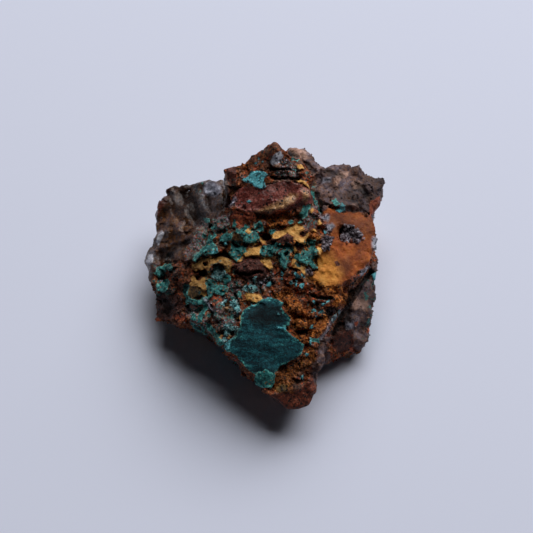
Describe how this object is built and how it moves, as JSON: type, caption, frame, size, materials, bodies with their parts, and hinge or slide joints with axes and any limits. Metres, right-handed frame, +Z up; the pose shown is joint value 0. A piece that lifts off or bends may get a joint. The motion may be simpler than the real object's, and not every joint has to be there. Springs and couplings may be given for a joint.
{
  "type": "pseudomalachite mineral specimen",
  "caption": "Broken lump of iron-stained copper ore with teal pseudomalachite crusts and ochre limonite, resting on a flat base.",
  "frame": {"origin": "middle of the bounding box, at the flat base the stone rests on", "axes": "+Z up, -Y towards the narrow snout, +Y towards the peak at the back, +X to the right seen from the snout"},
  "size_m": [0.0388, 0.042, 0.0242],
  "materials": {
    "ore": "rough broken ore: maroon and brown iron oxide, teal pseudomalachite crusts, ochre limonite, grey quartz"
  },
  "bodies": {
    "root": {"rock": "ore"}
  },
  "joints": []
}
